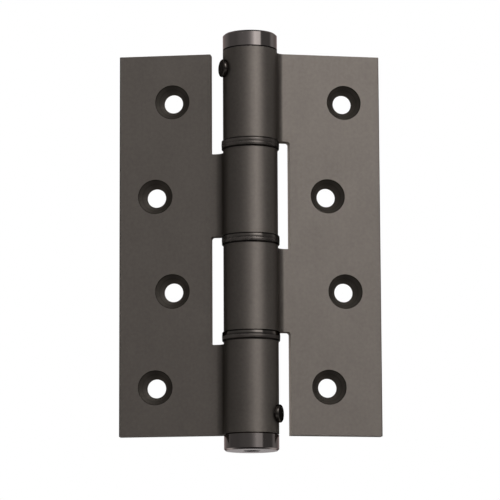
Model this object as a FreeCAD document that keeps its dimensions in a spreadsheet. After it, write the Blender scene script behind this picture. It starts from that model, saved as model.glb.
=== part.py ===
import FreeCAD, Part
import os

import Sketcher

# A self-closing butt hinge: two leaves sawn from one extrusion, flanged bushes between their knuckles,
# slotted end plugs that serve as the pin, a torsion spring between the plugs and a lock pin at each end.
#
# Frame: origin on the pin axis at half the leaf's height, +Z up along the pin, +X to the door leaf,
# -Y to the countersunk front. Both leaves rest swung back from flat by the same angle.
# Every piece of the door side is modelled once; its twin on the frame side is turned over about Y.

# Driving dimensions in millimetres and degrees
SIZES = [
    ("leaf_height", 120.0),
    ("leaf_width", 41.7),
    ("plate_thickness", 3.6),
    ("plate_setback", 1.75),
    ("plate_edge_round", 0.4),
    ("barrel_diameter", 17.0),
    ("barrel_bore", 13.0),
    ("root_fillet", 2.7),
    ("middle_knuckle", 27.0),
    ("knuckle_gap", 3.0),
    ("notch_clearance", 4.3),
    ("notch_relief", 0.5),
    ("notch_corner", 0.8),
    ("rest_swing", 9.0),
    ("screw_hole", 5.9),
    ("screw_sink", 10.9),
    ("screw_sink_angle", 80.0),
    ("screw_pitch", 30.0),
    ("screw_row_inner", 24.9),
    ("screw_row_outer", 30.3),
    ("flange_diameter", 18.0),
    ("flange_chamfer", 0.25),
    ("flange_draft", 0.06),
    ("flange_play", 0.06),
    ("sleeve_length", 8.0),
    ("sleeve_clearance", 0.02),
    ("bush_lead", 0.4),
    ("journal_diameter", 10.9),
    ("journal_clearance", 0.05),
    ("journal_overrun", 0.5),
    ("journal_lead", 0.5),
    ("boss_length", 12.0),
    ("boss_clearance", 0.03),
    ("cap_diameter", 17.0),
    ("cap_height", 5.2),
    ("cap_chamfer", 0.5),
    ("cap_groove_height", 0.4),
    ("cap_groove_depth", 1.0),
    ("hex_flats", 5.0),
    ("hex_depth", 6.0),
    ("pin_drop", 6.0),
    ("pin_turn", 11.0),
    ("pin_diameter", 3.0),
    ("pin_clearance", 0.05),
    ("pin_depth", 5.5),
    ("pin_head_diameter", 5.6),
    ("pin_head_height", 1.2),
    ("pin_head_round", 0.5),
    ("spring_diameter", 10.0),
    ("spring_wire", 2.0),
    ("spring_turns", 12.0),
    ("spring_end_gap", 0.3),
    ("tang_depth", 3.0),
    ("tang_clearance", 0.1),
    ("slot_floor_gap", 0.5),
]
HOLES_PER_LEAF = 4
HEX_CORNERS = 6
FULL_TURN = 360.0

doc = FreeCAD.newDocument("spring_hinge")
sheet = doc.addObject("Spreadsheet::Sheet", "Sizes")
for row, (alias, size) in enumerate(SIZES, start=1):
    sheet.set(f"A{row}", alias)
    sheet.set(f"B{row}", str(size))
    sheet.setAlias(f"B{row}", alias)
doc.recompute()

# Sizes that follow from the driving dimensions
HALF_HEIGHT = "Sizes.leaf_height / 2"
BARREL_RADIUS = "Sizes.barrel_diameter / 2"
BORE_RADIUS = "Sizes.barrel_bore / 2"
END_KNUCKLE = "(Sizes.leaf_height - 2 * Sizes.middle_knuckle - 3 * Sizes.knuckle_gap) / 2"
TOP_KNUCKLE_END = f"({HALF_HEIGHT} - {END_KNUCKLE})"
MIDDLE_KNUCKLE_FAR_END = "(Sizes.middle_knuckle + Sizes.knuckle_gap / 2)"
MIDDLE_KNUCKLE_NEAR_END = "(Sizes.knuckle_gap / 2)"
NOTCH_REACH = f"({BARREL_RADIUS} + Sizes.notch_clearance)"
PLATE_BACK = "(Sizes.plate_setback + Sizes.plate_thickness)"
FLANGE_RADIUS = "Sizes.flange_diameter / 2"
FLANGE_THICKNESS = "(Sizes.knuckle_gap - Sizes.flange_play) / 2"
SLEEVE_RADIUS = f"({BORE_RADIUS} - Sizes.sleeve_clearance)"
BUSH_BORE_RADIUS = "(Sizes.journal_diameter / 2 + Sizes.journal_clearance)"
JOURNAL_RADIUS = "Sizes.journal_diameter / 2"
PLUG_LENGTH = f"({END_KNUCKLE} + Sizes.knuckle_gap + Sizes.sleeve_length + Sizes.journal_overrun)"
PLUG_END = f"({HALF_HEIGHT} - {PLUG_LENGTH})"
PIN_LEAN = "(Sizes.rest_swing + Sizes.pin_turn)"
PIN_RADIUS = "Sizes.pin_diameter / 2"
PIN_HOLE_RADIUS = f"({PIN_RADIUS} + Sizes.pin_clearance)"
SPRING_MEAN_RADIUS = "(Sizes.spring_diameter - Sizes.spring_wire) / 2"
COIL_END = f"({PLUG_END} - Sizes.spring_end_gap)"


def value(formula):
    """The number that a formula of the sheet gives at present."""
    return float(sheet.evalExpression(formula))


def bind(thing, **formulas):
    """Tie properties of an object to the sheet."""
    for name, formula in formulas.items():
        thing.setExpression(name.replace("__", "."), formula)


def place(body, turn="0", height="0", turned_over=False):
    """Turn a piece about the pin axis and lift it; its twin on the frame side is turned over about Y."""
    if turned_over:
        spot = f"placement(vector(0; 0; -({height})); rotation(-({turn}); 180; 0))"
    else:
        spot = f"placement(vector(0; 0; {height}); rotation({turn}; 0; 0))"
    body.setExpression("Placement", spot)


def new_sketch(body, name, role, turn=None, lift=None):
    """A sketch on one of the body's own planes, turned about its vertical or lifted off it where asked."""
    plane = next(item for item in body.Origin.OriginFeatures if item.Role == role)
    sketch = body.newObject("Sketcher::SketchObject", name)
    sketch.AttachmentSupport = [(plane, "")]
    sketch.MapMode = "FlatFace"
    if turn:
        bind(sketch, AttachmentOffset=f"placement(vector(0; 0; 0); rotation(vector(0; 1; 0); {turn}))")
    if lift:
        bind(sketch, AttachmentOffset__Base__z=lift)
    return sketch


def fix_point(sketch, geometry, vertex, across, up):
    """Hold one point of a sketch at two coordinates of the sheet."""
    for kind, formula in (("DistanceX", across), ("DistanceY", up)):
        rule = Sketcher.Constraint(kind, -1, 1, geometry, vertex, value(formula))
        index = sketch.addConstraint(rule)
        sketch.setExpression(f"Constraints[{index}]", formula)


def draw_outline(sketch, corners):
    """A closed outline of straight sides through corners given as pairs of formulas."""
    spots = [FreeCAD.Vector(value(across), value(up), 0) for across, up in corners]
    first = sketch.GeometryCount
    for here, there in zip(spots, spots[1:] + spots[:1]):
        sketch.addGeometry(Part.LineSegment(here, there), False)
    for number, (across, up) in enumerate(corners):
        after = (number + 1) % len(corners)
        sketch.addConstraint(Sketcher.Constraint("Coincident", first + number, 2, first + after, 1))
        fix_point(sketch, first + number, 1, across, up)


def draw_box(sketch, left, right, bottom, top):
    """A rectangle between four formulas."""
    draw_outline(sketch, [(left, bottom), (right, bottom), (right, top), (left, top)])


def draw_circle(sketch, radius, across="0", up="0"):
    """A circle of a given radius about a point."""
    centre = FreeCAD.Vector(value(across), value(up), 0)
    circle = sketch.addGeometry(Part.Circle(centre, FreeCAD.Vector(0, 0, 1), value(radius)), False)
    fix_point(sketch, circle, 3, across, up)
    index = sketch.addConstraint(Sketcher.Constraint("Radius", circle, value(radius)))
    sketch.setExpression(f"Constraints[{index}]", radius)


def add_feature(body, kind, name, sketch, **settings):
    """A feature of the body made from a sketch."""
    feature = body.newObject(f"PartDesign::{kind}", name)
    feature.Profile = sketch
    for setting, choice in settings.items():
        setattr(feature, setting, choice)
    return feature


def add_revolution(body, name, sketch, axis):
    """A full turn of a sketch about one of its own axes."""
    return add_feature(body, "Revolution", name, sketch, ReferenceAxis=(sketch, [axis]))


def cut_through(body, name, sketch):
    """A cut right through the body to both sides of a sketch."""
    return add_feature(body, "Pocket", name, sketch, Type="ThroughAll", SideType="Symmetric")


def round_edges(body, name, radius, wanted):
    """Round those edges of the body so far whose middle point passes a test."""
    doc.recompute()
    base = body.Tip
    edges = []
    for number, edge in enumerate(base.Shape.Edges, start=1):
        middle = edge.valueAt((edge.FirstParameter + edge.LastParameter) / 2)
        if wanted(edge, middle):
            edges.append(f"Edge{number}")
    fillet = body.newObject("PartDesign::Fillet", name)
    fillet.Base = (base, edges)
    bind(fillet, Radius=radius)


def near(first, second):
    """Whether two lengths are the same to within a thousandth."""
    return abs(first - second) < 1e-3


def make_leaf(label, turned_over):
    """One leaf: an extruded plate and barrel, milled back to two knuckles, drilled and countersunk."""
    body = doc.addObject("PartDesign::Body", label)

    barrel_section = new_sketch(body, "BarrelSection", "XY_Plane")
    draw_circle(barrel_section, BARREL_RADIUS)
    barrel = add_feature(body, "Pad", "Barrel", barrel_section, SideType="Symmetric")
    bind(barrel, Length="Sizes.leaf_height")

    plate_section = new_sketch(body, "PlateSection", "XY_Plane")
    draw_box(plate_section, "0", "Sizes.leaf_width", "Sizes.plate_setback", PLATE_BACK)
    plate = add_feature(body, "Pad", "Plate", plate_section, SideType="Symmetric")
    bind(plate, Length="Sizes.leaf_height")

    faces = (value("Sizes.plate_setback"), value(PLATE_BACK))
    barrel_radius = value(BARREL_RADIUS)
    leaf_width = value("Sizes.leaf_width")

    def along_pin(edge, middle):
        upright = near(edge.BoundBox.ZLength, value("Sizes.leaf_height"))
        return upright and any(near(middle.y, face) for face in faces)

    def is_root(edge, middle):
        return along_pin(edge, middle) and near((middle.x**2 + middle.y**2) ** 0.5, barrel_radius)

    def is_outer(edge, middle):
        return along_pin(edge, middle) and near(middle.x, leaf_width)

    round_edges(body, "RootFillets", "Sizes.root_fillet", is_root)
    round_edges(body, "OuterEdges", "Sizes.plate_edge_round", is_outer)

    bore_section = new_sketch(body, "BoreSection", "XY_Plane")
    draw_circle(bore_section, BORE_RADIUS)
    cut_through(body, "Bore", bore_section)

    # Two notches clear the neighbour's knuckles; beside the barrel they run a little past the knuckle's end
    beyond_barrel = "-Sizes.barrel_diameter"
    below_leaf = "-Sizes.leaf_height"
    upper_top = TOP_KNUCKLE_END
    upper_floor = f"-{MIDDLE_KNUCKLE_NEAR_END}"
    lower_top = f"-{MIDDLE_KNUCKLE_FAR_END}"
    relief = "Sizes.notch_relief"
    notch_shape = new_sketch(body, "NotchShape", "XZ_Plane")
    draw_outline(notch_shape, [
        (beyond_barrel, upper_floor),
        (BARREL_RADIUS, upper_floor),
        (BARREL_RADIUS, f"{upper_floor} - {relief}"),
        (NOTCH_REACH, f"{upper_floor} - {relief}"),
        (NOTCH_REACH, f"{upper_top} + {relief}"),
        (BARREL_RADIUS, f"{upper_top} + {relief}"),
        (BARREL_RADIUS, upper_top),
        (beyond_barrel, upper_top),
    ])
    draw_outline(notch_shape, [
        (beyond_barrel, below_leaf),
        (NOTCH_REACH, below_leaf),
        (NOTCH_REACH, f"{lower_top} + {relief}"),
        (BARREL_RADIUS, f"{lower_top} + {relief}"),
        (BARREL_RADIUS, lower_top),
        (beyond_barrel, lower_top),
    ])
    cut_through(body, "Notches", notch_shape)

    notch_reach = value(NOTCH_REACH)
    half_height = value(HALF_HEIGHT)

    def is_notch_corner(edge, middle):
        across_plate = near(edge.BoundBox.YLength, value("Sizes.plate_thickness"))
        at_leaf_end = near(abs(middle.z), half_height)
        return across_plate and near(middle.x, notch_reach) and not at_leaf_end

    round_edges(body, "NotchCorners", "Sizes.notch_corner", is_notch_corner)

    # Screw holes in a zigzag of two rows, outer row first from the top
    hole_centres = new_sketch(body, "HoleCentres", "XZ_Plane", lift="-Sizes.plate_setback")
    rows = ("Sizes.screw_row_outer", "Sizes.screw_row_inner")
    for number in range(HOLES_PER_LEAF):
        height = f"Sizes.screw_pitch * {(HOLES_PER_LEAF - 1) / 2 - number}"
        draw_circle(hole_centres, "Sizes.screw_hole / 2", rows[number % 2], height)
    doc.recompute()
    holes = add_feature(body, "Hole", "ScrewHoles", hole_centres, DepthType="ThroughAll", ThreadType="None")
    holes.HoleCutType = "Countersink"
    holes.HoleCutCustomValues = True
    bind(
        holes,
        Diameter="Sizes.screw_hole",
        HoleCutDiameter="Sizes.screw_sink",
        HoleCutCountersinkAngle="Sizes.screw_sink_angle",
    )

    # The lock pin enters the end knuckle opposite the plate, a little to the front
    pin_hole = new_sketch(body, "PinHoleShape", "YZ_Plane", turn="Sizes.pin_turn")
    draw_circle(pin_hole, PIN_HOLE_RADIUS, "0", f"{HALF_HEIGHT} - Sizes.pin_drop")
    cross_hole = add_feature(body, "Pocket", "PinHole", pin_hole)
    bind(cross_hole, Length="Sizes.barrel_diameter")

    place(body, "Sizes.rest_swing", turned_over=turned_over)
    return body


def make_bush(label, height, flange_up):
    """A flanged bush; its flange seats on a knuckle's end face and widens towards the next knuckle."""
    body = doc.addObject("PartDesign::Body", label)
    section = new_sketch(body, "BushSection", "XZ_Plane")
    sleeve_end = "-Sizes.sleeve_length"
    rim_radius = f"{FLANGE_RADIUS} - Sizes.flange_draft"
    draw_outline(section, [
        (BUSH_BORE_RADIUS, sleeve_end),
        (f"{SLEEVE_RADIUS} - Sizes.bush_lead", sleeve_end),
        (SLEEVE_RADIUS, f"{sleeve_end} + Sizes.bush_lead"),
        (SLEEVE_RADIUS, "0"),
        (f"{rim_radius} - Sizes.flange_chamfer", "0"),
        (rim_radius, "Sizes.flange_chamfer"),
        (FLANGE_RADIUS, FLANGE_THICKNESS),
        (BUSH_BORE_RADIUS, FLANGE_THICKNESS),
    ])
    add_revolution(body, "Bush", section, "V_Axis")
    if flange_up:
        place(body, height=height)
    else:
        place(body, height=f"-({height})", turned_over=True)
    return body


def make_plug(label, turned_over):
    """An end plug: polished cap, boss in the end knuckle, journal through the bushes, slot for the spring."""
    body = doc.addObject("PartDesign::Body", label)
    section = new_sketch(body, "PlugSection", "XZ_Plane")
    inner_end = f"-{PLUG_LENGTH}"
    boss_radius = f"({BORE_RADIUS} - Sizes.boss_clearance)"
    cap_radius = "Sizes.cap_diameter / 2"
    seat_radius = f"({cap_radius} - Sizes.cap_groove_depth)"
    draw_outline(section, [
        ("0", inner_end),
        (f"{JOURNAL_RADIUS} - Sizes.journal_lead", inner_end),
        (JOURNAL_RADIUS, f"{inner_end} + Sizes.journal_lead"),
        (JOURNAL_RADIUS, "-Sizes.boss_length"),
        (boss_radius, "-Sizes.boss_length"),
        (boss_radius, "0"),
        (seat_radius, "0"),
        (seat_radius, "Sizes.cap_groove_height"),
        (cap_radius, "Sizes.cap_groove_height"),
        (cap_radius, "Sizes.cap_height - Sizes.cap_chamfer"),
        (f"{cap_radius} - Sizes.cap_chamfer", "Sizes.cap_height"),
        ("0", "Sizes.cap_height"),
    ])
    add_revolution(body, "Plug", section, "V_Axis")

    socket_shape = new_sketch(body, "SocketShape", "XY_Plane", lift="Sizes.cap_height")
    corner_reach = "Sizes.hex_flats / sqrt(3)"
    hexagon = []
    for corner in range(HEX_CORNERS):
        turn = FULL_TURN * corner / HEX_CORNERS
        hexagon.append((f"{corner_reach} * cos({turn})", f"{corner_reach} * sin({turn})"))
    draw_outline(socket_shape, hexagon)
    socket = add_feature(body, "Pocket", "HexSocket", socket_shape)
    bind(socket, Length="Sizes.hex_depth")

    slot_shape = new_sketch(body, "SlotShape", "XZ_Plane")
    slot_floor = f"{inner_end} + Sizes.tang_depth + Sizes.slot_floor_gap"
    draw_box(
        slot_shape,
        "-Sizes.journal_diameter",
        "Sizes.journal_diameter",
        f"{inner_end} - Sizes.tang_depth",
        slot_floor,
    )
    slot = add_feature(body, "Pocket", "SpringSlot", slot_shape, SideType="Symmetric")
    bind(slot, Length="Sizes.spring_wire + 2 * Sizes.tang_clearance")

    # Two cross holes at right angles, so that the lock pin can catch the plug at each quarter turn
    lock_shape = new_sketch(body, "LockHoleShape", "YZ_Plane")
    draw_circle(lock_shape, PIN_HOLE_RADIUS, "0", "-Sizes.pin_drop")
    lock_hole = cut_through(body, "LockHole", lock_shape)
    doc.recompute()
    quarter_turns = body.newObject("PartDesign::PolarPattern", "LockHoles")
    quarter_turns.Originals = [lock_hole]
    quarter_turns.Axis = (lock_shape, ["V_Axis"])
    quarter_turns.Mode = "Spacing"
    quarter_turns.Offset = FULL_TURN / 4
    quarter_turns.Occurrences = 2
    body.Tip = quarter_turns

    place(body, PIN_LEAN, HALF_HEIGHT, turned_over)
    return body


def make_lock_pin(label, turned_over):
    """A pan-headed pin through the end knuckle into the plug, pointing away from the axis."""
    body = doc.addObject("PartDesign::Body", label)
    section = new_sketch(body, "PinSection", "XY_Plane")
    head_radius = "Sizes.pin_head_diameter / 2"
    crown = f"-({BARREL_RADIUS} + Sizes.pin_head_height)"
    seat = f"-{BARREL_RADIUS}"
    tip = f"-({BARREL_RADIUS} - Sizes.pin_depth)"
    draw_outline(section, [
        (crown, "0"),
        (tip, "0"),
        (tip, PIN_RADIUS),
        (seat, PIN_RADIUS),
        (seat, head_radius),
        (crown, head_radius),
    ])
    add_revolution(body, "LockPin", section, "H_Axis")

    crown_place = value(crown)

    def is_crown_rim(edge, middle):
        return near(edge.BoundBox.XMax, crown_place)

    round_edges(body, "HeadRim", "Sizes.pin_head_round", is_crown_rim)
    place(body, PIN_LEAN, f"{HALF_HEIGHT} - Sizes.pin_drop", turned_over)
    return body


def make_spring(label):
    """A torsion spring of square wire with a tang across each end, seated in the plugs' slots."""
    body = doc.addObject("PartDesign::Body", label)
    half_wire = "Sizes.spring_wire / 2"
    coil_start = f"(-{COIL_END} + {half_wire})"
    wire_section = new_sketch(body, "WireSection", "XZ_Plane", turn=f"-{PIN_LEAN}")
    draw_box(
        wire_section,
        f"{SPRING_MEAN_RADIUS} - {half_wire}",
        f"{SPRING_MEAN_RADIUS} + {half_wire}",
        f"{coil_start} - {half_wire}",
        f"{coil_start} + {half_wire}",
    )
    coil = add_feature(body, "AdditiveHelix", "Coil", wire_section, ReferenceAxis=(wire_section, ["V_Axis"]))
    coil.Mode = "height-turns-angle"
    bind(
        coil,
        Height=f"2 * {COIL_END} - Sizes.spring_wire",
        Turns=f"Sizes.spring_turns + 2 * {PIN_LEAN} / {FULL_TURN}",
    )
    # Each tang starts inside the last turn and crosses the diameter into its plug's slot
    tang_reach = f"({SPRING_MEAN_RADIUS} + Sizes.spring_wire / 4)"
    tang_root = f"({COIL_END} - {half_wire})"
    tang_tip = f"({PLUG_END} + Sizes.tang_depth)"
    tangs = [
        ("LowerTang", f"-{PIN_LEAN}", f"-{tang_tip}", f"-{tang_root}"),
        ("UpperTang", PIN_LEAN, tang_root, tang_tip),
    ]
    for name, turn, bottom, top in tangs:
        tang_shape = new_sketch(body, f"{name}Shape", "XZ_Plane", turn=turn)
        draw_box(tang_shape, f"-{tang_reach}", tang_reach, bottom, top)
        tang = add_feature(body, "Pad", name, tang_shape, SideType="Symmetric")
        bind(tang, Length="Sizes.spring_wire")
    return body


pieces = [
    make_leaf("door_leaf", turned_over=False),
    make_leaf("frame_leaf", turned_over=True),
    make_bush("knuckle_1_lower_bush", TOP_KNUCKLE_END, flange_up=False),
    make_bush("knuckle_2_upper_bush", MIDDLE_KNUCKLE_FAR_END, flange_up=True),
    make_bush("knuckle_2_lower_bush", MIDDLE_KNUCKLE_NEAR_END, flange_up=False),
    make_bush("knuckle_3_upper_bush", f"-{MIDDLE_KNUCKLE_NEAR_END}", flange_up=True),
    make_bush("knuckle_3_lower_bush", f"-{MIDDLE_KNUCKLE_FAR_END}", flange_up=False),
    make_bush("knuckle_4_upper_bush", f"-{TOP_KNUCKLE_END}", flange_up=True),
    make_plug("upper_plug", turned_over=False),
    make_plug("lower_plug", turned_over=True),
    make_lock_pin("upper_lock_pin", turned_over=False),
    make_lock_pin("lower_lock_pin", turned_over=True),
    make_spring("torsion_spring"),
]
doc.recompute()

for thing in doc.Objects:
    if "Invalid" in thing.State or "Error" in thing.State:
        raise RuntimeError(f"{thing.Label} failed: {thing.State}")
for piece in pieces:
    if piece.Shape.isNull() or not piece.Shape.isValid():
        raise RuntimeError(f"{piece.Label} has no valid shape")

os.makedirs("parts", exist_ok=True)
for piece in pieces:
    piece.Shape.exportStep(f"parts/{piece.Label}.step")
    print(piece.Label, len(piece.Shape.Solids), round(piece.Shape.Volume, 1))
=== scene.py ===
import math

import bmesh
import bpy
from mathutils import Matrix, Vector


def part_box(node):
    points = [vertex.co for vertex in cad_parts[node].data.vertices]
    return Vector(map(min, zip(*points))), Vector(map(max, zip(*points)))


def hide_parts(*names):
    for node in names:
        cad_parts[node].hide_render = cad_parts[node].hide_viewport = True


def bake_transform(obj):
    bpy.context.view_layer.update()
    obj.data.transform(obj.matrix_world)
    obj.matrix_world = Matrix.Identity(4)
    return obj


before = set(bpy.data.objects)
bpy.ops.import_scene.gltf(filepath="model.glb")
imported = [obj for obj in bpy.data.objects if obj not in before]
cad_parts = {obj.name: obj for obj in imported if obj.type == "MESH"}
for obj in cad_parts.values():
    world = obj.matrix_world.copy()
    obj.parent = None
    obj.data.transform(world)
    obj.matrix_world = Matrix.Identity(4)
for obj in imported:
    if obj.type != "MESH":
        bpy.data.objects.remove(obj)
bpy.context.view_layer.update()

# Dresses a self-closing butt hinge: satin leaves in dark bronze, polished end caps, plated bushes, black
# lock pins and the torsion spring that twists inside the barrel. Metres throughout, in the frame of the
# solids: the pin axis is Z through the origin, +X is the door side and -Y the countersunk front.

bl_info = {
    "name": "Spring Hinge",
    "version": (1, 0, 0),
    "blender": (4, 5, 0),
    "location": "View3D > Sidebar > Spring Hinge",
    "description": "Finishes and lights a self-closing butt hinge",
    "category": "Object",
}

MM = 0.001
LEAVES = ("door_leaf", "frame_leaf")
PLUGS = ("upper_plug", "lower_plug")
LOCK_PINS = ("upper_lock_pin", "lower_lock_pin")
SPRING_NODE = "torsion_spring"
# How much of each bush's flange the joint's grease has dulled, from the top joint down
BUSH_GREASE = {
    "knuckle_1_lower_bush": 0.75, "knuckle_2_upper_bush": 0.7,
    "knuckle_2_lower_bush": 0.35, "knuckle_3_upper_bush": 0.6,
    "knuckle_3_lower_bush": 0.0, "knuckle_4_upper_bush": 0.9,
}
# How far each leaf is swung back at rest, how far its front face lies behind the pin axis, and how far
# apart the joints are
REST_SWING = math.radians(9)
FACE_DEPTH = 1.75 * MM
JOINT_PITCH = 30 * MM
# Where a leaf has its screw holes and its notches, outward from the pin axis. A notch's upright wall
# stands beyond its corners, and no notch reaches the leaf's ends
SCREW_AREA = (15 * MM, 38 * MM)
NOTCH_AREA = (8.5 * MM, 14 * MM)
NOTCH_CORNER = 11 * MM
NOTCH_END = 59 * MM
# The share of its normal by which a countersink's wall faces the front, and the most for a wall that is
# square to the plate
SINK_LEAN = (0.3, 0.9)
SQUARE_LEAN = 0.3
# Share of the light that a surface film still returns at grazing angles; the darkest ones swallow it all
LEAF_GRAZE = (0.33, 0.33, 0.33, 1.0)
CAP_GRAZE = (0.43, 0.37, 0.37, 1.0)
NO_GRAZE = (0.0, 0.0, 0.0, 1.0)


def srgb(text):
    """The linear colour of a hex value written in sRGB."""
    shares = [int(text[place:place + 2], 16) / 255 for place in (1, 3, 5)]
    return tuple(share / 12.92 if share <= 0.04045 else ((share + 0.055) / 1.055) ** 2.4 for share in shares)


def colour_property(name, description, text):
    """A colour that a user can change, given as a hex value."""
    return bpy.props.FloatVectorProperty(
        name=name, description=description, default=srgb(text), subtype="COLOR", size=3, min=0.0, max=1.0
    )


def length_property(name, description, default):
    """A length that a user can change, in metres."""
    return bpy.props.FloatProperty(
        name=name, description=description, default=default, min=0.0,
        subtype="DISTANCE", unit="LENGTH", precision=5
    )


def share_property(name, description, default):
    """A share from 0 to 1 that a user can change."""
    return bpy.props.FloatProperty(
        name=name, description=description, default=default, min=0.0, max=1.0, subtype="FACTOR"
    )


class HingeFinish(bpy.types.PropertyGroup):
    """Colours, gloss and edge sizes of the hinge's pieces."""

    bronze: colour_property("Bronze", "Dyed anodised film of the leaves", "#7B746E")
    bronze_roughness: share_property("Bronze Roughness", "Satin of the leaves", 0.47)
    grain: length_property("Grain", "Spacing of the extrusion lines along the leaves", 0.6 * MM)
    etch: length_property("Etch", "Grain of the etched surface of the leaves", 0.9 * MM)
    # The countersinks' colour is painted darker than the face, as shade in their recesses
    shaded_sink: colour_property("Countersink", "Turned countersinks", "#66605A")
    sink_roughness: share_property("Countersink Roughness", "Dull cut of the countersinks", 0.65)
    # The countersinks' rim is a band of painted shade, in the painted shade colour
    sink_shade_rim: length_property("Countersink Rim", "Dark burr at the rim of the countersinks", 0.35 * MM)
    wall: colour_property("Notch Wall", "Milled walls of the notches", "#A89E96")
    wall_roughness: share_property("Notch Wall Roughness", "Milled surface of the notches", 0.6)
    cap: colour_property("Cap", "Polished end caps", "#908885")
    cap_roughness: share_property("Cap Roughness", "Polish of the end caps", 0.09)
    bush: colour_property("Bush", "Plated joint bushes", "#746E69")
    bush_roughness: share_property("Bush Roughness", "Gloss of the clean bushes", 0.08)
    grease: colour_property("Grease", "Bushes under a film of grease", "#625C58")
    grease_roughness: share_property("Grease Roughness", "Gloss of the grease", 0.4)
    # Beyond this distance from a joint's middle, the bushes' flanges carry painted shade next to the knuckles
    seam: length_property("Seam", "Where a joint's dirty seam starts, from the joint's middle", 1.1 * MM)
    # Colour of the painted shade in the bushes' seams and at the countersinks' rims
    painted_shade: colour_property("Grime", "Dirty grease in seams and rims", "#2E2A27")
    pin: colour_property("Pin", "Lock pins", "#55504C")
    pin_roughness: share_property("Pin Roughness", "Gloss of the lock pins", 0.2)
    steel: colour_property("Steel", "Spring wire", "#8F9296")
    steel_roughness: share_property("Steel Roughness", "Drawn surface of the wire", 0.3)
    leaf_edge: length_property("Leaf Edge", "Broken edge of the leaves", 0.12 * MM)
    plug_edge: length_property("Plug Edge", "Broken edge of the plugs and pins", 0.1 * MM)
    bush_edge: length_property("Bush Edge", "Broken edge of the bushes' flanges", 0.02 * MM)


class HingeSpring(bpy.types.PropertyGroup):
    """The torsion spring inside the barrel, where the solids have it."""

    wire: length_property("Wire", "Side of the square wire", 2.0 * MM)
    mean_radius: length_property("Mean Radius", "Axis to the middle of the wire", 4.0 * MM)
    turns: bpy.props.FloatProperty(name="Turns", description="Turns between the tangs", default=12.0, min=1.0)
    tang_lean: bpy.props.FloatProperty(
        name="Tang Lean", description="Turn of the upper tang about the pin axis; the lower one mirrors it",
        default=math.radians(20), subtype="ANGLE", unit="ROTATION"
    )
    tang_overlap: length_property("Tang Overlap", "Height of each tang", 4.3 * MM)


class HingeStage(bpy.types.PropertyGroup):
    """Camera and floor."""

    camera_place: bpy.props.FloatVectorProperty(
        name="Camera Place", description="Where the camera stands, below the hinge and in front of it",
        default=(-0.0215, -0.8783, -0.1395), subtype="TRANSLATION", unit="LENGTH", size=3
    )
    camera_turn: bpy.props.FloatVectorProperty(
        name="Camera Turn", description="Tilt, roll and pan of the camera",
        default=tuple(math.radians(turn) for turn in (98.841, 0.26, -1.346)),
        subtype="EULER", unit="ROTATION", size=3
    )
    lens: bpy.props.FloatProperty(
        name="Lens", description="Focal length on a 36 mm sensor, in millimetres", default=206.6, min=10.0
    )
    floor_drop: length_property("Floor Drop", "Floor below the pin axis's middle", 0.35)
    floor_width: length_property("Floor Width", "Side of the square floor", 3.0)
    floor_even: length_property("Even Floor", "Radius of the even floor, beyond which it fades out", 0.4)
    floor_colour: colour_property("Floor", "Matte paper floor", "#FAF9F8")


def add_node(tree, kind, links=None, **settings):
    """One node with its settings; links give each input a value or another node's output."""
    node = tree.nodes.new(kind)
    for name, choice in settings.items():
        setattr(node, name, choice)
    for socket, source in (links or {}).items():
        if isinstance(source, bpy.types.NodeSocket):
            tree.links.new(source, node.inputs[socket])
        else:
            node.inputs[socket].default_value = source
    return node


def new_material(name, sockets):
    """A node material with nothing but its Principled shader, some of whose sockets are set."""
    material = bpy.data.materials.new(name)
    material.use_nodes = True
    tree = material.node_tree
    tree.nodes.clear()
    shader = add_node(tree, "ShaderNodeBsdfPrincipled", sockets)
    add_node(tree, "ShaderNodeOutputMaterial", {"Surface": shader.outputs["BSDF"]})
    return material, tree, shader


def grains(tree, spacing, detail=2.0):
    """A grainy pattern with the given spacing along X, Y and Z, in metres."""
    place = add_node(tree, "ShaderNodeTexCoord")
    scale = tuple(1 / step for step in spacing)
    stretched = add_node(
        tree, "ShaderNodeVectorMath", {0: place.outputs["Object"], 1: scale}, operation="MULTIPLY"
    )
    noise = add_node(
        tree, "ShaderNodeTexNoise", {"Vector": stretched.outputs["Vector"], "Scale": 1.0, "Detail": detail}
    )
    return noise.outputs["Fac"]


def lathe_lines(tree, spacing):
    """Lines round the pin axis with the given spacing: rings on end faces and bands on round sides."""
    place = add_node(tree, "ShaderNodeTexCoord")
    parts = add_node(tree, "ShaderNodeSeparateXYZ", {0: place.outputs["Object"]})
    flat = add_node(tree, "ShaderNodeCombineXYZ", {"X": parts.outputs["X"], "Y": parts.outputs["Y"]})
    radius = add_node(tree, "ShaderNodeVectorMath", {0: flat.outputs["Vector"]}, operation="LENGTH")
    along = add_node(
        tree, "ShaderNodeMath", {0: radius.outputs["Value"], 1: parts.outputs["Z"]}, operation="ADD"
    )
    noise = add_node(
        tree, "ShaderNodeTexNoise", {"W": along.outputs["Value"], "Scale": 1 / spacing, "Detail": 3.0},
        noise_dimensions="1D"
    )
    return noise.outputs["Fac"]


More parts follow.
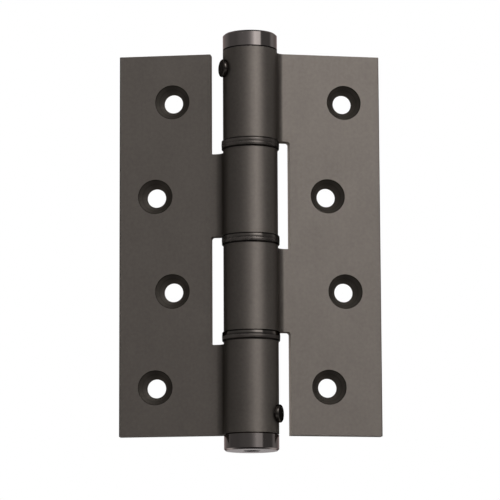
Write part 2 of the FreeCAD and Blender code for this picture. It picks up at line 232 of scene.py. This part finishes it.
def lay_pattern(
    tree, shader, pattern, colour=None, depth=0.0, shade_cover=None, gloss=None, relief=0.0, strength=0.0
):
    """Lets a pattern show on a shader. It darkens and lightens the colour by depth, a share of it; the pair
    of a mask and a colour that follows lays painted shade over that tone as far as the mask reaches. It takes
    the roughness from the first to the second number of gloss, and it stands up by relief, in metres, with a
    strength from 0 to 1."""
    if colour:
        darker = tuple(channel * (1 - depth) for channel in colour)
        lighter = tuple(channel * (1 + depth) for channel in colour)
        shades = {"Factor": pattern, "A": (*darker, 1), "B": (*lighter, 1)}
        tone = add_node(tree, "ShaderNodeMix", shades, data_type="RGBA")
        if shade_cover:
            mask, painted_shade = shade_cover
            cover = {"Factor": mask, "A": tone.outputs["Result"], "B": (*painted_shade, 1)}
            tone = add_node(tree, "ShaderNodeMix", cover, data_type="RGBA")
        tree.links.new(tone.outputs["Result"], shader.inputs["Base Color"])
    if gloss:
        low, high = gloss
        # Nearly all of a pattern's values lie in the middle half of its range
        span = {"Value": pattern, "From Min": 0.25, "From Max": 0.75, "To Min": low, "To Max": high}
        roughness = add_node(tree, "ShaderNodeMapRange", span)
        tree.links.new(roughness.outputs["Result"], shader.inputs["Roughness"])
    if relief:
        bump = add_node(tree, "ShaderNodeBump", {"Height": pattern, "Distance": relief, "Strength": strength})
        tree.links.new(bump.outputs["Normal"], shader.inputs["Normal"])


def around(middle, below, above):
    """A range about a number, from so much below to so much above it."""
    return middle - below, middle + above


def between(first, second, share):
    """A number part of the way from one to another."""
    return first + share * (second - first)


def anodised_aluminium(finish):
    """Extruded aluminium, etched and anodised dark bronze: a satin metal with faint lines along the
    extrusion, a sandy etch and a slightly cloudy dye. The dyed film swallows light at grazing angles, so
    the barrel's edges stay dark. Lines and etch are drawn coarser than real ones, so that they show."""
    material, tree, shader = new_material(
        "anodised_aluminium", {"Metallic": 1.0, "Specular Tint": LEAF_GRAZE}
    )
    line_length = 60 * finish.grain
    lines = grains(tree, (finish.grain, finish.grain, line_length), detail=3.0)
    satin = around(finish.bronze_roughness, below=0.03, above=0.03)
    lay_pattern(tree, shader, lines, gloss=satin, relief=0.004 * MM, strength=0.5)
    clouds = grains(tree, (9 * MM, 9 * MM, 14 * MM))
    etch = grains(tree, (finish.etch, finish.etch, finish.etch))
    etch_share = 0.6
    mottle = add_node(tree, "ShaderNodeMix", {"Factor": etch_share, "A": clouds, "B": etch})
    lay_pattern(tree, shader, mottle.outputs["Result"], colour=finish.bronze, depth=0.22)
    return material


def turned_countersink(finish):
    """Countersinks cut after the extrusion and dyed with it: duller than the face, with rings from the tool.
    Their colour is painted darker than the face as shade in the recess, and a band at the rim is painted
    shade. The rings are drawn coarser than real ones, so that they show."""
    material, tree, shader = new_material(
        "turned_countersink",
        {"Metallic": 1.0, "Specular Tint": NO_GRAZE, "Roughness": finish.sink_roughness}
    )
    place = add_node(tree, "ShaderNodeTexCoord")
    either_leaf = add_node(
        tree, "ShaderNodeVectorMath", {0: place.outputs["Object"]}, operation="ABSOLUTE"
    )
    inward = (-math.sin(REST_SWING), math.cos(REST_SWING), 0.0)
    into_leaf = add_node(
        tree, "ShaderNodeVectorMath", {0: either_leaf.outputs["Vector"], 1: inward}, operation="DOT_PRODUCT"
    )
    ring_spacing = 0.9 * MM
    rings = add_node(
        tree, "ShaderNodeTexNoise",
        {"W": into_leaf.outputs["Value"], "Scale": 1 / ring_spacing, "Detail": 2.0}, noise_dimensions="1D"
    )
    # A band just inside the rim is painted shade
    shade_rim_end = FACE_DEPTH + finish.sink_shade_rim
    rim = add_node(
        tree, "ShaderNodeMapRange",
        {"Value": into_leaf.outputs["Value"], "From Min": FACE_DEPTH, "From Max": shade_rim_end,
         "To Min": 1.0, "To Max": 0.0}
    )
    lay_pattern(
        tree, shader, rings.outputs["Fac"], colour=finish.shaded_sink, depth=0.6,
        shade_cover=(rim.outputs["Result"], finish.painted_shade), relief=0.05 * MM, strength=0.6
    )
    return material


def milled_wall(finish):
    """Walls of the notches, milled before the dye: matte, so that they look like the faces beside them.
    The marks of the cutter are drawn coarser than real ones, so that they show."""
    material, tree, shader = new_material(
        "milled_wall", {"Specular IOR Level": 0.0, "Roughness": finish.wall_roughness}
    )
    cut = grains(tree, (0.5 * MM, 0.5 * MM, 0.5 * MM))
    lay_pattern(tree, shader, cut, colour=finish.wall, depth=0.08)
    return material


def polished_bronze(finish):
    """Turned and polished end caps: a near mirror, broken only by lathe lines round the pin axis, which
    are drawn coarser than real ones, so that they show."""
    material, tree, shader = new_material("polished_bronze", {"Metallic": 1.0, "Specular Tint": CAP_GRAZE})
    polish = around(finish.cap_roughness, below=0.02, above=0.03)
    lay_pattern(
        tree, shader, lathe_lines(tree, 0.35 * MM), colour=finish.cap, depth=0.05, gloss=polish,
        relief=0.002 * MM, strength=0.3
    )
    return material


def dark_plated_steel(finish, piece, grease):
    """Turned steel bushes plated dark and polished, which a film of grease dulls in patches, with painted
    shade, nearly black, on the flanges' ends next to the knuckles. The plating swallows light at grazing
    angles, so the rings end nearly black at their sides."""
    clean_metal, greased_metal = 1.0, 0.7
    material, tree, shader = new_material(
        f"dark_plated_steel_{piece}",
        {"Metallic": between(clean_metal, greased_metal, grease), "Specular Tint": NO_GRAZE}
    )
    smears = grains(tree, (2.5 * MM, 2.5 * MM, 0.9 * MM), detail=3.0)
    place = add_node(tree, "ShaderNodeTexCoord")
    parts = add_node(tree, "ShaderNodeSeparateXYZ", {0: place.outputs["Object"]})
    from_joint = add_node(
        tree, "ShaderNodeMath", {0: parts.outputs["Z"], 1: JOINT_PITCH / 2}, operation="PINGPONG"
    )
    # The flanges' ends next to the knuckles are painted shade, nearly black
    seam_fade = 0.1 * MM
    seam = add_node(
        tree, "ShaderNodeMapRange",
        {"Value": from_joint.outputs["Value"], "From Min": finish.seam - seam_fade, "From Max": finish.seam}
    )
    colour = [between(clean, greased, grease) for clean, greased in zip(finish.bush, finish.grease)]
    roughness = between(finish.bush_roughness, finish.grease_roughness, grease)
    lay_pattern(
        tree, shader, smears, colour=colour, depth=0.2, shade_cover=(seam.outputs["Result"], finish.painted_shade),
        gloss=(0.7 * roughness, 1.3 * roughness), relief=0.01 * MM, strength=0.3
    )
    return material


def blackened_steel(finish):
    """Chemically blackened and oiled steel pins: black, glossy, with a slightly uneven oil film. The black
    layer swallows light at grazing angles."""
    material, tree, shader = new_material("blackened_steel", {"Metallic": 0.9, "Specular Tint": NO_GRAZE})
    film = grains(tree, (1.2 * MM, 1.2 * MM, 1.2 * MM), detail=3.0)
    oiled = around(finish.pin_roughness, below=0.05, above=0.08)
    lay_pattern(tree, shader, film, colour=finish.pin, depth=0.2, gloss=oiled)
    return material


def drawn_spring_steel(finish):
    """Drawn square spring wire: bright grey steel with drawing lines that show as a streaky gloss. The
    lines are drawn coarser than real ones, so that they show."""
    material, tree, shader = new_material("drawn_spring_steel", {"Metallic": 1.0})
    streaky = around(finish.steel_roughness, below=0.08, above=0.08)
    lay_pattern(
        tree, shader, lathe_lines(tree, 0.25 * MM), colour=finish.steel, depth=0.1, gloss=streaky
    )
    return material


def soften(piece, width):
    """Joins a solid's split corners, clears its flat faces of needless edges, breaks its sharp edges and
    shades its large faces flat."""
    steps = (
        ("JoinCorners", "WELD", {"merge_threshold": 0.001 * MM}),
        ("PlainFaces", "DECIMATE", {"decimate_type": "DISSOLVE", "angle_limit": math.radians(0.5)}),
        ("BrokenEdges", "BEVEL", {
            "width": width, "segments": 2, "limit_method": "ANGLE", "angle_limit": math.radians(28)
        }),
        ("FlatShading", "WEIGHTED_NORMAL", {"mode": "FACE_AREA", "weight": 100}),
    )
    for name, kind, settings in steps:
        modifier = piece.modifiers.new(name, kind)
        for setting, choice in settings.items():
            setattr(modifier, setting, choice)
    piece.data.shade_smooth()


def dress(names, material, width):
    """Gives solids of the frame their finish and broken edges."""
    for name in names:
        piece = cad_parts[name]
        piece.data.materials.clear()
        piece.data.materials.append(material)
        soften(piece, width)


def is_countersink(face):
    """Whether a face of a leaf is a countersink's wall: out on the plate and leaning towards the front."""
    on_plate = SCREW_AREA[0] < abs(face.center.x) < SCREW_AREA[1]
    return on_plate and SINK_LEAN[0] < -face.normal.y < SINK_LEAN[1]


def is_notch_wall(face):
    """Whether a face of a leaf is a notch's wall: beside the barrel, and square to the plate."""
    beside_barrel = NOTCH_AREA[0] < abs(face.center.x) < NOTCH_AREA[1] and abs(face.center.z) < NOTCH_END
    upright = abs(face.center.x) > NOTCH_CORNER
    level = abs(face.normal.z) > SQUARE_LEAN
    return beside_barrel and abs(face.normal.y) < SQUARE_LEAN and (upright or level)


class HINGE_OT_leaves(bpy.types.Operator):
    """Finish both leaves in anodised aluminium"""

    bl_idname = "hinge.leaves"
    bl_label = "Leaves"

    def execute(self, context):
        finish = context.scene.hinge_finish
        dress(LEAVES, anodised_aluminium(finish), finish.leaf_edge)
        countersink = turned_countersink(finish)
        wall = milled_wall(finish)
        for name in LEAVES:
            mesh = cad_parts[name].data
            mesh.materials.append(countersink)
            mesh.materials.append(wall)
            for face in mesh.polygons:
                if is_countersink(face):
                    face.material_index = 1
                elif is_notch_wall(face):
                    face.material_index = 2
        return {"FINISHED"}


class HINGE_OT_plugs(bpy.types.Operator):
    """Finish both end plugs as polished caps"""

    bl_idname = "hinge.plugs"
    bl_label = "End Plugs"

    def execute(self, context):
        finish = context.scene.hinge_finish
        dress(PLUGS, polished_bronze(finish), finish.plug_edge)
        return {"FINISHED"}


class HINGE_OT_bushes(bpy.types.Operator):
    """Finish the six flanged bushes in dark plated steel"""

    bl_idname = "hinge.bushes"
    bl_label = "Bushes"

    def execute(self, context):
        finish = context.scene.hinge_finish
        for name, grease in BUSH_GREASE.items():
            dress((name,), dark_plated_steel(finish, name, grease), finish.bush_edge)
        return {"FINISHED"}


class HINGE_OT_lock_pins(bpy.types.Operator):
    """Finish both lock pins in blackened steel"""

    bl_idname = "hinge.lock_pins"
    bl_label = "Lock Pins"

    def execute(self, context):
        finish = context.scene.hinge_finish
        dress(LOCK_PINS, blackened_steel(finish), finish.plug_edge)
        return {"FINISHED"}


def coil_rings(spring, bottom, top):
    """Square rings of the wire along its helix, each as four points."""
    half = spring.wire / 2
    steps_per_turn = 32
    turns = spring.turns + 2 * spring.tang_lean / math.tau
    steps = round(turns * steps_per_turn)
    rings = []
    for step in range(steps + 1):
        share = step / steps
        angle = -spring.tang_lean + share * turns * math.tau
        height = bottom + half + share * (top - bottom - spring.wire)
        ring = []
        for out, up in ((-half, -half), (half, -half), (half, half), (-half, half)):
            radius = spring.mean_radius + out
            ring.append((radius * math.cos(angle), radius * math.sin(angle), height + up))
        rings.append(ring)
    return rings


def join_rings(mesh, ring, after):
    """Four walls between two rings of four corners."""
    for here in range(4):
        there = (here + 1) % 4
        mesh.faces.new((ring[here], ring[there], after[there], after[here]))


def add_bar(mesh, turn, length, width, low, high):
    """A straight bar across the pin axis, turned about it."""
    corners = []
    for height in (low, high):
        for along, aside in ((-1, -1), (1, -1), (1, 1), (-1, 1)):
            x, y = along * length / 2, aside * width / 2
            spot = (x * math.cos(turn) - y * math.sin(turn), x * math.sin(turn) + y * math.cos(turn), height)
            corners.append(mesh.verts.new(spot))
    under, over = corners[:4], corners[4:]
    mesh.faces.new(reversed(under))
    mesh.faces.new(over)
    join_rings(mesh, under, over)


def add_object(scene, name, mesh, material):
    """A finished mesh as an object of the scene, in one material."""
    data = bpy.data.meshes.new(name)
    mesh.to_mesh(data)
    mesh.free()
    data.materials.append(material)
    piece = bpy.data.objects.new(name, data)
    scene.collection.objects.link(piece)
    return piece


class HINGE_OT_spring(bpy.types.Operator):
    """Wind the torsion spring, which twists between the two plugs as the leaf swings"""

    bl_idname = "hinge.spring"
    bl_label = "Torsion Spring"

    def execute(self, context):
        scene = context.scene
        spring = scene.hinge_spring
        low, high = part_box(SPRING_NODE)
        tang_in_slot = spring.tang_overlap - spring.wire / 2
        mesh = bmesh.new()
        rings = [
            [mesh.verts.new(spot) for spot in ring]
            for ring in coil_rings(spring, low.z + tang_in_slot, high.z - tang_in_slot)
        ]
        for ring, after in zip(rings, rings[1:]):
            join_rings(mesh, ring, after)
        mesh.faces.new(reversed(rings[0]))
        mesh.faces.new(rings[-1])
        tang_length = 2 * spring.mean_radius + spring.wire / 2
        add_bar(mesh, -spring.tang_lean, tang_length, spring.wire, low.z, low.z + spring.tang_overlap)
        add_bar(mesh, spring.tang_lean, tang_length, spring.wire, high.z - spring.tang_overlap, high.z)
        bmesh.ops.recalc_face_normals(mesh, faces=mesh.faces)
        piece = add_object(scene, "wound_spring", mesh, drawn_spring_steel(scene.hinge_finish))
        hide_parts(SPRING_NODE)
        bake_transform(piece)
        return {"FINISHED"}


# The studio round the hinge as level by direction: degrees to the right of the camera's side, and degrees
# upward. Reflections show a dim room that is paler towards the floor, and a tall box of light at the front
# right with a soft edge to the front and a hard edge to the side. Matte surfaces see a soft light instead,
# mostly from the left.
ROOM_LEVELS = ((-180, 0.3), (-135, 0.5), (-118, 0.33), (-98, 0.17), (90, 0.14), (105, 0.45), (180, 0.3))
ROOM_HEIGHTS = (
    (-90, 0.2), (-64, 0.3), (-50, 0.8), (-40, 2.3), (-26, 2.5), (-13, 0.5),
    (0, 0.6), (13, 1.0), (35, 1.25), (48, 1.1), (65, 0.3), (90, 0.15),
)
BOX_LEVELS = (
    (-60, 0.0), (-50, 0.05), (-36, 0.1), (-20, 0.13), (-10, 0.19),
    (0, 0.38), (10, 0.9), (20, 1.75), (30, 1.57), (42, 1.45), (48, 0.0),
)
BOX_HEIGHTS = (
    (-15, 0.0), (0, 0.07), (5, 0.29), (13, 0.9), (20, 0.95), (27, 1.5), (35, 4.4), (42, 4.0), (60, 0.0),
)
SOFT_LEVELS = ((-180, 1.2), (-110, 2.6), (-50, 0.9), (50, 0.5), (110, 0.5), (180, 1.2))
SOFT_HEIGHTS = ((-90, 0.0), (-30, 0.0), (0, 0.7), (20, 1.0), (60, 0.85), (90, 0.8))
# How far these angles reach to either side, in degrees
SIDEWAYS_REACH = 180
UPWARD_REACH = 90
# Reflections show the white background too, where they point far enough away from the camera's side; below
# the horizon it fades with the drop times this factor, because the floor begins there
BACKDROP_EDGE = (0.62, 0.95)
BACKDROP_DROP = 2.2
WHITE = (1.0, 1.0, 1.0, 1.0)


def level_by_angle(tree, angle, stops, reach):
    """Light level by an angle that reaches so many degrees to either side, from stops in degrees."""
    share = add_node(
        tree, "ShaderNodeMapRange",
        {"Value": angle, "From Min": -math.radians(reach), "From Max": math.radians(reach)}
    )
    ramp = add_node(tree, "ShaderNodeValToRGB", {"Fac": share.outputs["Result"]})
    elements = ramp.color_ramp.elements
    while len(elements) < len(stops):
        elements.new(1.0)
    for element, (degrees, level) in zip(elements, stops):
        element.position = (degrees + reach) / (2 * reach)
        element.color = (level, level, level, 1.0)
    return ramp.outputs["Color"]


def studio_world():
    """A white background; reflections show a dim room and a box of light, matte surfaces a soft light."""
    world = bpy.data.worlds.new("studio")
    world.use_nodes = True
    # Only rays that leave a surface sample the studio, so that each kind of ray meets its own light
    world.cycles.sampling_method = "NONE"
    tree = world.node_tree
    tree.nodes.clear()
    place = add_node(tree, "ShaderNodeTexCoord")
    way = add_node(tree, "ShaderNodeSeparateXYZ", {0: place.outputs["Generated"]})
    front = add_node(tree, "ShaderNodeMath", {0: way.outputs["Y"], 1: -1.0}, operation="MULTIPLY")
    aside = add_node(
        tree, "ShaderNodeMath", {0: way.outputs["X"], 1: front.outputs["Value"]}, operation="ARCTAN2"
    )
    upward = add_node(tree, "ShaderNodeMath", {0: way.outputs["Z"]}, operation="ARCSINE")
    tables = ((ROOM_LEVELS, ROOM_HEIGHTS), (BOX_LEVELS, BOX_HEIGHTS), (SOFT_LEVELS, SOFT_HEIGHTS))
    lights = []
    for levels, heights in tables:
        across = level_by_angle(tree, aside.outputs["Value"], levels, SIDEWAYS_REACH)
        along = level_by_angle(tree, upward.outputs["Value"], heights, UPWARD_REACH)
        both = {"Factor": 1.0, "A": across, "B": along}
        light = add_node(tree, "ShaderNodeMix", both, data_type="RGBA", blend_type="MULTIPLY")
        lights.append(light.outputs["Result"])
    room, box, soft = lights
    both = {"Factor": 1.0, "A": room, "B": box}
    mirrored = add_node(tree, "ShaderNodeMix", both, data_type="RGBA", blend_type="ADD")
    ray = add_node(tree, "ShaderNodeLightPath")
    by_ray = {"Factor": ray.outputs["Is Glossy Ray"], "A": soft, "B": mirrored.outputs["Result"]}
    lit = add_node(tree, "ShaderNodeMix", by_ray, data_type="RGBA")
    below = add_node(tree, "ShaderNodeMath", {0: way.outputs["Z"], 1: 0.0}, operation="MINIMUM")
    far_side = add_node(
        tree, "ShaderNodeMath", {0: below.outputs["Value"], 1: BACKDROP_DROP, 2: way.outputs["Y"]},
        operation="MULTIPLY_ADD"
    )
    behind = add_node(
        tree, "ShaderNodeMapRange",
        {"Value": far_side.outputs["Value"], "From Min": BACKDROP_EDGE[0], "From Max": BACKDROP_EDGE[1]},
        interpolation_type="SMOOTHSTEP"
    )
    reflected = add_node(
        tree, "ShaderNodeMath", {0: ray.outputs["Is Glossy Ray"], 1: behind.outputs["Result"]},
        operation="MULTIPLY"
    )
    direct = add_node(
        tree, "ShaderNodeMath", {0: ray.outputs["Is Camera Ray"], 1: ray.outputs["Is Transmission Ray"]},
        operation="MAXIMUM"
    )
    shown = add_node(
        tree, "ShaderNodeMath", {0: reflected.outputs["Value"], 1: direct.outputs["Value"]},
        operation="MAXIMUM"
    )
    background = {"Factor": shown.outputs["Value"], "A": lit.outputs["Result"], "B": WHITE}
    colour = add_node(tree, "ShaderNodeMix", background, data_type="RGBA")
    light = add_node(tree, "ShaderNodeBackground", {"Color": colour.outputs["Result"], "Strength": 1.0})
    add_node(tree, "ShaderNodeOutputWorld", {"Surface": light.outputs["Background"]})
    return world


def seamless_paper(stage):
    """Matte seamless paper: an even pale sheet that fades into the background, with a barely visible fibre,
    drawn coarser than a real one so that it shows."""
    material, tree, shader = new_material("seamless_paper", {"Roughness": 0.9})
    fibre = grains(tree, (4 * MM, 4 * MM, 4 * MM))
    lay_pattern(tree, shader, fibre, colour=stage.floor_colour, depth=0.02)
    place = add_node(tree, "ShaderNodeTexCoord")
    from_middle = add_node(
        tree, "ShaderNodeVectorMath", {0: place.outputs["Object"]}, operation="LENGTH"
    )
    edge = stage.floor_width / 2
    fade = add_node(
        tree, "ShaderNodeMapRange",
        {"Value": from_middle.outputs["Value"], "From Min": stage.floor_even, "From Max": edge},
        interpolation_type="SMOOTHSTEP"
    )
    clear = add_node(tree, "ShaderNodeBsdfTransparent")
    surface = shader.outputs["BSDF"].links[0].to_socket
    sheet = add_node(
        tree, "ShaderNodeMixShader",
        {0: fade.outputs["Result"], 1: shader.outputs["BSDF"], 2: clear.outputs["BSDF"]}
    )
    tree.links.new(sheet.outputs["Shader"], surface)
    return material


class HINGE_OT_stage(bpy.types.Operator):
    """Set the camera, the floor and the studio light"""

    bl_idname = "hinge.stage"
    bl_label = "Stage"

    def execute(self, context):
        scene = context.scene
        stage = scene.hinge_stage
        scene.view_settings.view_transform = "Standard"
        scene.world = studio_world()

        lens = bpy.data.cameras.new("photo_camera")
        lens.sensor_width = 36.0
        lens.lens = stage.lens
        camera = bpy.data.objects.new("photo_camera", lens)
        camera.location = stage.camera_place
        camera.rotation_euler = stage.camera_turn
        scene.collection.objects.link(camera)
        scene.camera = camera

        mesh = bmesh.new()
        bmesh.ops.create_grid(mesh, x_segments=8, y_segments=8, size=stage.floor_width / 2)
        floor = add_object(scene, "floor", mesh, seamless_paper(stage))
        floor.location.z = -stage.floor_drop
        floor.visible_glossy = False
        floor.visible_diffuse = False
        return {"FINISHED"}


OPERATORS = (
    HINGE_OT_leaves, HINGE_OT_plugs, HINGE_OT_bushes, HINGE_OT_lock_pins, HINGE_OT_spring, HINGE_OT_stage,
)


class HINGE_PT_sidebar(bpy.types.Panel):
    """Sizes, colours and steps of the hinge"""

    bl_label = "Spring Hinge"
    bl_idname = "HINGE_PT_sidebar"
    bl_space_type = "VIEW_3D"
    bl_region_type = "UI"
    bl_category = "Spring Hinge"

    def draw(self, context):
        scene = context.scene
        for group in (scene.hinge_finish, scene.hinge_spring, scene.hinge_stage):
            box = self.layout.box()
            for name in group.bl_rna.properties.keys():
                if name not in ("rna_type", "name"):
                    box.prop(group, name)
        for operator in OPERATORS:
            self.layout.operator(operator.bl_idname)


SETTINGS = {"hinge_finish": HingeFinish, "hinge_spring": HingeSpring, "hinge_stage": HingeStage}
CLASSES = (*SETTINGS.values(), *OPERATORS, HINGE_PT_sidebar)


def register():
    for cls in CLASSES:
        bpy.utils.register_class(cls)
    for name, group in SETTINGS.items():
        setattr(bpy.types.Scene, name, bpy.props.PointerProperty(type=group))


def unregister():
    for name in SETTINGS:
        delattr(bpy.types.Scene, name)
    for cls in reversed(CLASSES):
        bpy.utils.unregister_class(cls)


def main():
    register()
    bpy.ops.hinge.leaves()
    bpy.ops.hinge.plugs()
    bpy.ops.hinge.bushes()
    bpy.ops.hinge.lock_pins()
    bpy.ops.hinge.spring()
    bpy.ops.hinge.stage()


if __name__ == "__main__":
    main()
